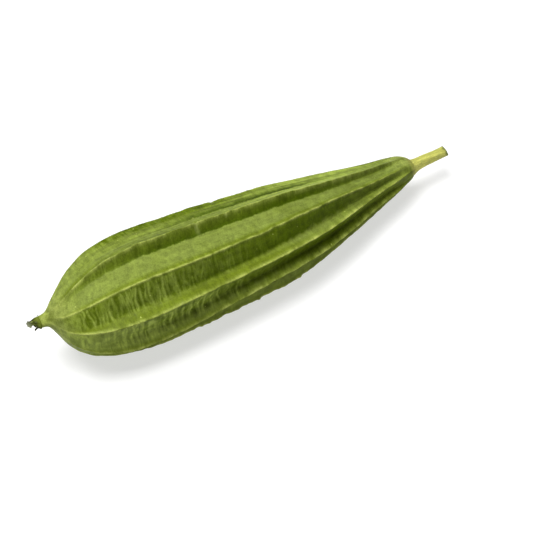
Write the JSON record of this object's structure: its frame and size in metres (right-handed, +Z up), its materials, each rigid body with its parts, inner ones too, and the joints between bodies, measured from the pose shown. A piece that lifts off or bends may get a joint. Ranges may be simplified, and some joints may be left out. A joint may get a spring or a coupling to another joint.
{
  "type": "ridge gourd",
  "caption": "Whole ridge gourd lying on its side: a club-shaped green fruit with sharp lengthwise ridges, a short pale stem and a withered flower at the blossom end.",
  "frame": {"origin": "on the floor under the middle of the gourd's bounding box", "axes": "+Z up, +X along the fruit toward its stem, -Y toward the side it bows to"},
  "size_m": [0.2986, 0.0712, 0.0704],
  "materials": {
    "gourd_skin": "satin, slightly waxy, lighter in the valleys, with thin pale crest lines",
    "stem_skin": "matte yellow-green, finely ribbed",
    "withered_flower": "dry, dark and crumpled"
  },
  "bodies": {
    "root": {"fruit": "gourd_skin", "stem": "stem_skin", "flower_remnant": "withered_flower"}
  },
  "joints": []
}
